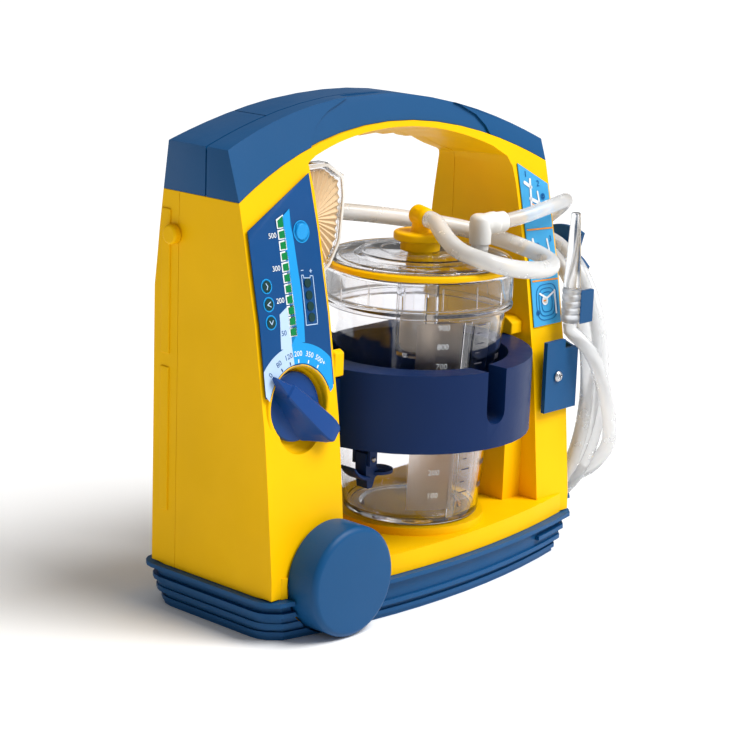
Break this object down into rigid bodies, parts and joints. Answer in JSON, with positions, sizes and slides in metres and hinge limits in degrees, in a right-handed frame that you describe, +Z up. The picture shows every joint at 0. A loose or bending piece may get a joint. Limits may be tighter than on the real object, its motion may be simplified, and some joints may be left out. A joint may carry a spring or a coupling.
{
  "type": "portable suction pump",
  "caption": "Carry-handled battery suction unit: arched two-column housing, ring-held clear canister with lid and tubes, selector knob, filter, side-wound patient tubing.",
  "frame": {"origin": "middle of the bounding box at the foot of the rubber bumper, on the surface the unit stands on, measured without the tubes", "axes": "+X to the unit's right seen from the front, +Y to the back, +Z up"},
  "size_m": [0.3346, 0.1521, 0.3113],
  "materials": {
    "yellow_abs": "moulded, fine satin grain",
    "blue_rubber": "soft-touch satin",
    "navy_abs": "moulded, fine satin grain",
    "panel_blue": "printed film under satin overlay",
    "label_cyan": "printed film",
    "green_led": "tinted lens",
    "clear_plastic": "clear polycarbonate",
    "silicone": "translucent silicone",
    "white_plastic": "semi-gloss moulded",
    "cream_plastic": "matte",
    "grey_plastic": "satin",
    "steel": "turned, zinc plated",
    "black_plastic": "satin",
    "circuit_green": "solder-resist"
  },
  "bodies": {
    "unit": {"base_bumper": "blue_rubber", "battery_lenses": "green_led", "battery_pack": "black_plastic", "canister_body": "clear_plastic", "canister_holder": "navy_abs", "canister_lid": "clear_plastic", "cap_boss": "yellow_abs", "circuit_board": "circuit_green", "connecting_rod": "grey_plastic", "control_panel_label": "panel_blue", "door_hinge_pin": "steel", "filter_housing": "clear_plastic", "filter_media": "cream_plastic", "filter_spigot": "white_plastic", "float_cage": "clear_plastic", "front_housing": "yellow_abs", "handle_cover": "blue_rubber", "holder_hook_left": "yellow_abs", "holder_hook_right": "yellow_abs", "housing_screw_1": "steel", "housing_screw_2": "steel", "housing_screw_3": "steel", "housing_screw_4": "steel", "lid_seal_ring": "yellow_abs", "patient_elbow": "white_plastic", "patient_tube": "silicone", "patient_tube_coil": "silicone", "pictogram_label": "label_cyan", "power_inlet": "black_plastic", "pump_diaphragm": "black_plastic", "pump_head": "grey_plastic", "pump_motor": "steel", "rear_housing": "yellow_abs", "release_lever_pin": "steel", "rotary_switch": "black_plastic", "round_cap": "blue_rubber", "status_lenses": "green_led", "strap_stud_left": "yellow_abs", "strap_stud_right": "yellow_abs", "tip_clip": "blue_rubber", "tip_collar": "grey_plastic", "tip_connector": "clear_plastic", "tip_tube": "silicone", "tubing_holder": "blue_rubber", "tubing_holder_screw": "steel", "vacuum_gauge_lenses": "green_led", "vacuum_port_cap": "yellow_abs", "vacuum_tube": "silicone"},
    "selector": {"selector_knob": "blue_rubber", "switch_shaft": "steel"},
    "test_key": {"test_button": "label_cyan"},
    "canister_release": {"release_lever": "navy_abs"},
    "float": {"float_valve": "cream_plastic"},
    "crank": {"motor_shaft": "steel", "eccentric": "steel"},
    "battery_cover": {"battery_door": "yellow_abs"},
    "cover_latch": {"battery_latch": "blue_rubber"}
  },
  "joints": [
    {"name": "selector_turn", "type": "hinge", "parent": "unit", "child": "selector", "pos_m": [-0.133, -0.02745, 0.139], "axis": [0, -0.9863, 0.165], "range_deg": [-88, 0]},
    {"name": "test_press", "type": "slide", "parent": "unit", "child": "test_key", "axis": [0, 1, 0], "range_m": [0, 0.0012], "stiffness_N_per_m": 300},
    {"name": "release_pull", "type": "hinge", "parent": "unit", "child": "canister_release", "pos_m": [-0.069, -0.02245, 0.095], "axis": [0, 1, 0], "range_deg": [0, 20], "stiffness_Nm_per_rad": 0.05, "springref_deg": -5.73},
    {"name": "float_rise", "type": "slide", "parent": "unit", "child": "float", "axis": [0, 0, 1], "range_m": [0, 0.015]},
    {"name": "crank_turn", "type": "hinge", "parent": "unit", "child": "crank", "pos_m": [0.0995, 0.01675, 0.15], "axis": [0, 0, 1], "continuous": true},
    {"name": "battery_cover_open", "type": "hinge", "parent": "unit", "child": "battery_cover", "pos_m": [-0.1315, 0.06565, 0.06], "axis": [-1, 0, 0], "range_deg": [0, 95]},
    {"name": "latch_lift", "type": "slide", "parent": "unit", "child": "cover_latch", "axis": [0, 0, 1], "range_m": [0, 0.004], "stiffness_N_per_m": 200, "springref_m": -0.001}
  ]
}
